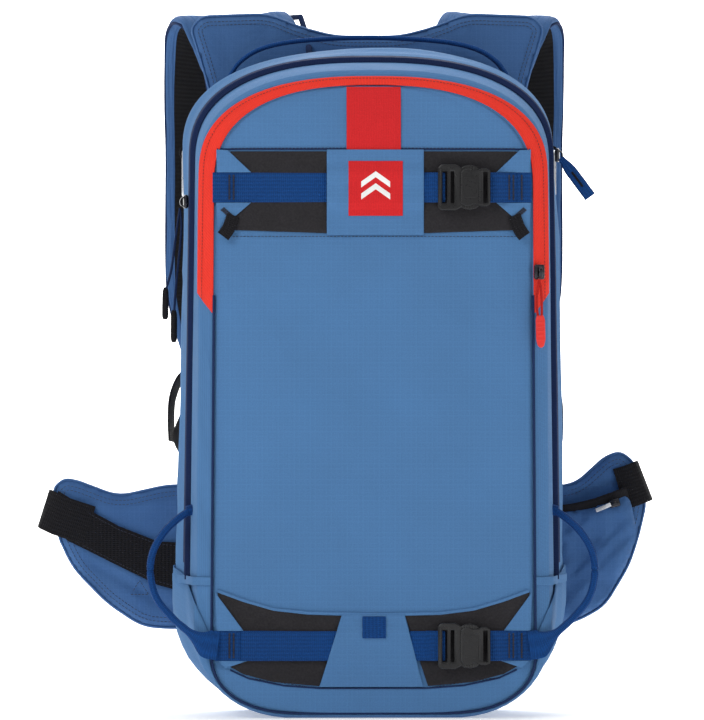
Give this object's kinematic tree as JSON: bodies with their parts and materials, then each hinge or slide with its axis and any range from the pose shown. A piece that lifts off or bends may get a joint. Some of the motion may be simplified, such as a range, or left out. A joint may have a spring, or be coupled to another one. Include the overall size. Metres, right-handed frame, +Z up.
{
  "type": "avalanche airbag backpack",
  "caption": "Ski touring backpack with a built-in airbag system, compression straps, zips, shoulder harness and folding hip wings.",
  "frame": {"origin": "centre of the flat base the bag stands on", "axes": "+Z up, -Y towards the front panel that faces away from the wearer, -X to the wearer's left"},
  "size_m": [0.523, 0.3073, 0.5914],
  "materials": {
    "shell_fabric": "matte woven",
    "navy_webbing": "woven webbing",
    "red_fabric": "matte woven",
    "zip_tape": "water repellent tape",
    "foam_inset": "textured foam",
    "black_webbing": "woven webbing",
    "black_plastic": "moulded acetal",
    "back_foam": "spacer mesh over foam",
    "metal": "anodised",
    "red_plastic": "moulded",
    "frame_plastic": "sheet"
  },
  "bodies": {
    "bag": {"front_panel": "shell_fabric", "front_gusset": "shell_fabric", "main_gusset": "shell_fabric", "base_wrap": "shell_fabric", "front_divider": "zip_tape", "frame_sheet": "frame_plastic", "back_stays": "metal", "back_panel": "back_foam", "back_pads": "back_foam", "front_zip_tape": "red_fabric", "main_zip_tape": "zip_tape", "airbag_zip_tape": "zip_tape", "red_stripe": "red_fabric", "upper_insets": "foam_inset", "lower_insets": "foam_inset", "centre_patch": "shell_fabric", "corner_tabs": "shell_fabric", "lower_patch": "shell_fabric", "lower_tab": "navy_webbing", "upper_strap_left": "navy_webbing", "upper_strap_right": "navy_webbing", "lower_strap_left": "navy_webbing", "lower_strap_right": "navy_webbing", "upper_buckle_housing": "black_plastic", "lower_buckle_housing": "black_plastic", "gear_loops": "navy_webbing", "grab_handle": "navy_webbing", "yoke": "shell_fabric", "shoulder_strap_left": "shell_fabric", "shoulder_strap_right": "shell_fabric", "harness_webbing": "black_webbing", "ladderlocks": "black_plastic", "sternum_webbing": "black_webbing", "sternum_housing": "black_plastic", "airbag": "red_fabric", "inflation_head": "black_plastic", "trigger_sleeve": "black_webbing", "trigger_cable": "black_plastic"},
    "upper_buckle": {"upper_buckle_male": "black_plastic"},
    "lower_buckle": {"lower_buckle_male": "black_plastic"},
    "front_slider": {"front_zip_slider": "red_plastic"},
    "front_pull": {"front_zip_pull": "red_plastic"},
    "left_slider": {"main_slider_left": "metal"},
    "left_pull": {"main_pull_left": "navy_webbing"},
    "right_slider": {"main_slider_right": "metal"},
    "right_pull": {"main_pull_right": "navy_webbing"},
    "left_hook": {"side_hook_left": "metal"},
    "right_hook": {"side_hook_right": "metal"},
    "sternum": {"sternum_male": "black_plastic"},
    "left_wing": {"wing_left": "shell_fabric", "belt_webbing_left": "black_webbing", "belt_housing": "black_plastic"},
    "right_wing": {"wing_right": "shell_fabric", "belt_webbing_right": "black_webbing", "belt_male": "black_plastic", "hip_pocket": "shell_fabric"},
    "pocket_slider": {"hip_pocket_slider": "metal"},
    "trigger": {"trigger_handle": "red_plastic"},
    "lever": {"firing_lever": "red_plastic"},
    "cylinder": {"gas_cylinder": "metal"}
  },
  "joints": [
    {"name": "upper_buckle_release", "type": "slide", "parent": "bag", "child": "upper_buckle", "axis": [-1, 0, 0], "range_m": [0, 0.025]},
    {"name": "lower_buckle_release", "type": "slide", "parent": "bag", "child": "lower_buckle", "axis": [-1, 0, 0], "range_m": [0, 0.025]},
    {"name": "front_zip_slide", "type": "slide", "parent": "bag", "child": "front_slider", "axis": [0, 0, 1], "range_m": [0, 0.07]},
    {"name": "front_pull_swing", "type": "hinge", "parent": "front_slider", "child": "front_pull", "pos_m": [0.137, -0.0977, 0.3645], "axis": [1, 0, 0], "range_deg": [-80, 0]},
    {"name": "left_zip_slide", "type": "slide", "parent": "bag", "child": "left_slider", "axis": [-0.0142, 0, -0.9999], "range_m": [0, 0.26]},
    {"name": "left_pull_swing", "type": "hinge", "parent": "left_slider", "child": "left_pull", "pos_m": [-0.15634, -0.0395, 0.424], "axis": [0, 1, 0], "range_deg": [0, 70]},
    {"name": "right_zip_slide", "type": "slide", "parent": "bag", "child": "right_slider", "axis": [0.0142, 0, -0.9999], "range_m": [0, 0.26]},
    {"name": "right_pull_swing", "type": "hinge", "parent": "right_slider", "child": "right_pull", "pos_m": [0.15556, -0.0405, 0.463], "axis": [0, 1, 0], "range_deg": [-45, 0]},
    {"name": "left_hook_swing", "type": "hinge", "parent": "bag", "child": "left_hook", "pos_m": [-0.156, 0.042, 0.472], "axis": [0, 1, 0], "range_deg": [0, 90]},
    {"name": "right_hook_swing", "type": "hinge", "parent": "bag", "child": "right_hook", "pos_m": [0.156, 0.042, 0.472], "axis": [0, 1, 0], "range_deg": [-90, 0]},
    {"name": "sternum_release", "type": "slide", "parent": "bag", "child": "sternum", "axis": [-1, 0, 0], "range_m": [0, 0.018]},
    {"name": "left_wing_fold", "type": "hinge", "parent": "bag", "child": "left_wing", "pos_m": [-0.114, 0.0923, 0.13], "axis": [0, 0, 1], "range_deg": [-80, 0]},
    {"name": "right_wing_fold", "type": "hinge", "parent": "bag", "child": "right_wing", "pos_m": [0.114, 0.0923, 0.13], "axis": [0, 0, 1], "range_deg": [0, 80]},
    {"name": "pocket_zip_slide", "type": "slide", "parent": "right_wing", "child": "pocket_slider", "axis": [-0.9613, 0, -0.2756], "range_m": [0, 0.04]},
    {"name": "trigger_pull", "type": "slide", "parent": "bag", "child": "trigger", "axis": [0, 0, -1], "range_m": [0, 0.025]},
    {"name": "firing_lever_turn", "type": "hinge", "parent": "bag", "child": "lever", "pos_m": [-0.036, 0.02, 0.302], "axis": [0, 1, 0], "range_deg": [-25, 0]},
    {"name": "cylinder_turn", "type": "hinge", "parent": "bag", "child": "cylinder", "pos_m": [-0.07, 0.02, 0.15], "axis": [0, 0, 1], "continuous": true}
  ],
  "couplings": [
    {"joint": "firing_lever_turn", "follows": "trigger_pull", "rad_per_m": -17.453}
  ]
}
